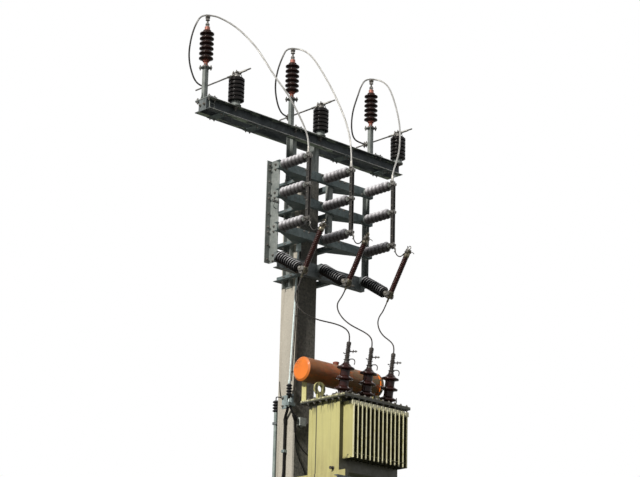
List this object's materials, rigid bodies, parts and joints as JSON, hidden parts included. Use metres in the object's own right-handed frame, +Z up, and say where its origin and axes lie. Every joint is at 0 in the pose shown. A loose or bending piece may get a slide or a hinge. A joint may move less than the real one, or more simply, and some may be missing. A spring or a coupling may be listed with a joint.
{
  "type": "pole mounted transformer",
  "caption": "Distribution transformer on a concrete pole with a crossarm, line insulators, air-break switch, fuses, jumpers and leads.",
  "frame": {"origin": "centre of the pole's foot at ground level", "axes": "+Z up the pole, +X along the crossarm, -Y towards the switch and the transformer"},
  "size_m": [3.2133, 2.02, 10.5905],
  "materials": {
    "concrete": "rough cast concrete",
    "dark_porcelain": "glossy glaze",
    "brown_porcelain": "glossy glaze",
    "white_porcelain": "glossy glaze, dusty",
    "black_porcelain": "glossy glaze",
    "red_brown_porcelain": "glossy glaze",
    "green_paint": "weathered pale yellow-green paint",
    "orange_paint": "rusty orange paint",
    "bare_aluminium": "weathered strand",
    "fitting_metal": "weathered fittings",
    "galvanised_steel": "weathered galvanising with rust",
    "dark_plastic": "matt",
    "grey_paint": "satin"
  },
  "bodies": {
    "root": {"bushing_flanges": "green_paint", "bushing_terminals": "fitting_metal", "bushings": "brown_porcelain", "cable_pipe": "dark_plastic", "cable_pipe_clamps": "galvanised_steel", "cable_pipe_head": "black_porcelain", "conservator": "orange_paint", "conservator_supports": "green_paint", "cooling_fins": "green_paint", "crossarm_channels": "galvanised_steel", "crossarm_end_plates": "galvanised_steel", "fuse_beam": "galvanised_steel", "fuse_contacts": "fitting_metal", "fuse_insulator_bases": "galvanised_steel", "fuse_insulator_wedges": "galvanised_steel", "fuse_insulators": "black_porcelain", "fuse_links": "fitting_metal", "fuse_tubes": "red_brown_porcelain", "head_channels": "galvanised_steel", "jumper_a": "bare_aluminium", "jumper_b": "bare_aluminium", "jumper_c": "bare_aluminium", "jumper_insulator_feet": "galvanised_steel", "jumper_insulators": "brown_porcelain", "jumper_posts": "galvanised_steel", "jumper_saddles": "fitting_metal", "junction_box": "grey_paint", "lead_a": "bare_aluminium", "lead_b": "bare_aluminium", "lead_c": "bare_aluminium", "lifting_lugs": "green_paint", "line_conductor_stubs": "bare_aluminium", "line_insulator_caps": "fitting_metal", "line_insulator_feet": "galvanised_steel", "line_insulators": "dark_porcelain", "low_voltage_bushings": "brown_porcelain", "operating_lever": "galvanised_steel", "operating_rod": "galvanised_steel", "operating_rod_guides": "galvanised_steel", "operating_rod_insulator": "black_porcelain", "pole": "concrete", "pole_cable": "dark_plastic", "pole_straps": "galvanised_steel", "support_cantilevers": "galvanised_steel", "support_cross_channels": "galvanised_steel", "support_struts": "galvanised_steel", "switch_beams": "galvanised_steel", "switch_blades": "fitting_metal", "switch_bracket_arms": "galvanised_steel", "switch_contacts": "fitting_metal", "switch_gussets": "galvanised_steel", "switch_insulator_bases": "galvanised_steel", "switch_insulators": "white_porcelain", "switch_rails": "galvanised_steel", "tap_clamps": "bare_aluminium", "transformer_cover": "green_paint", "transformer_skids": "green_paint", "transformer_tank": "green_paint"}
  },
  "joints": []
}
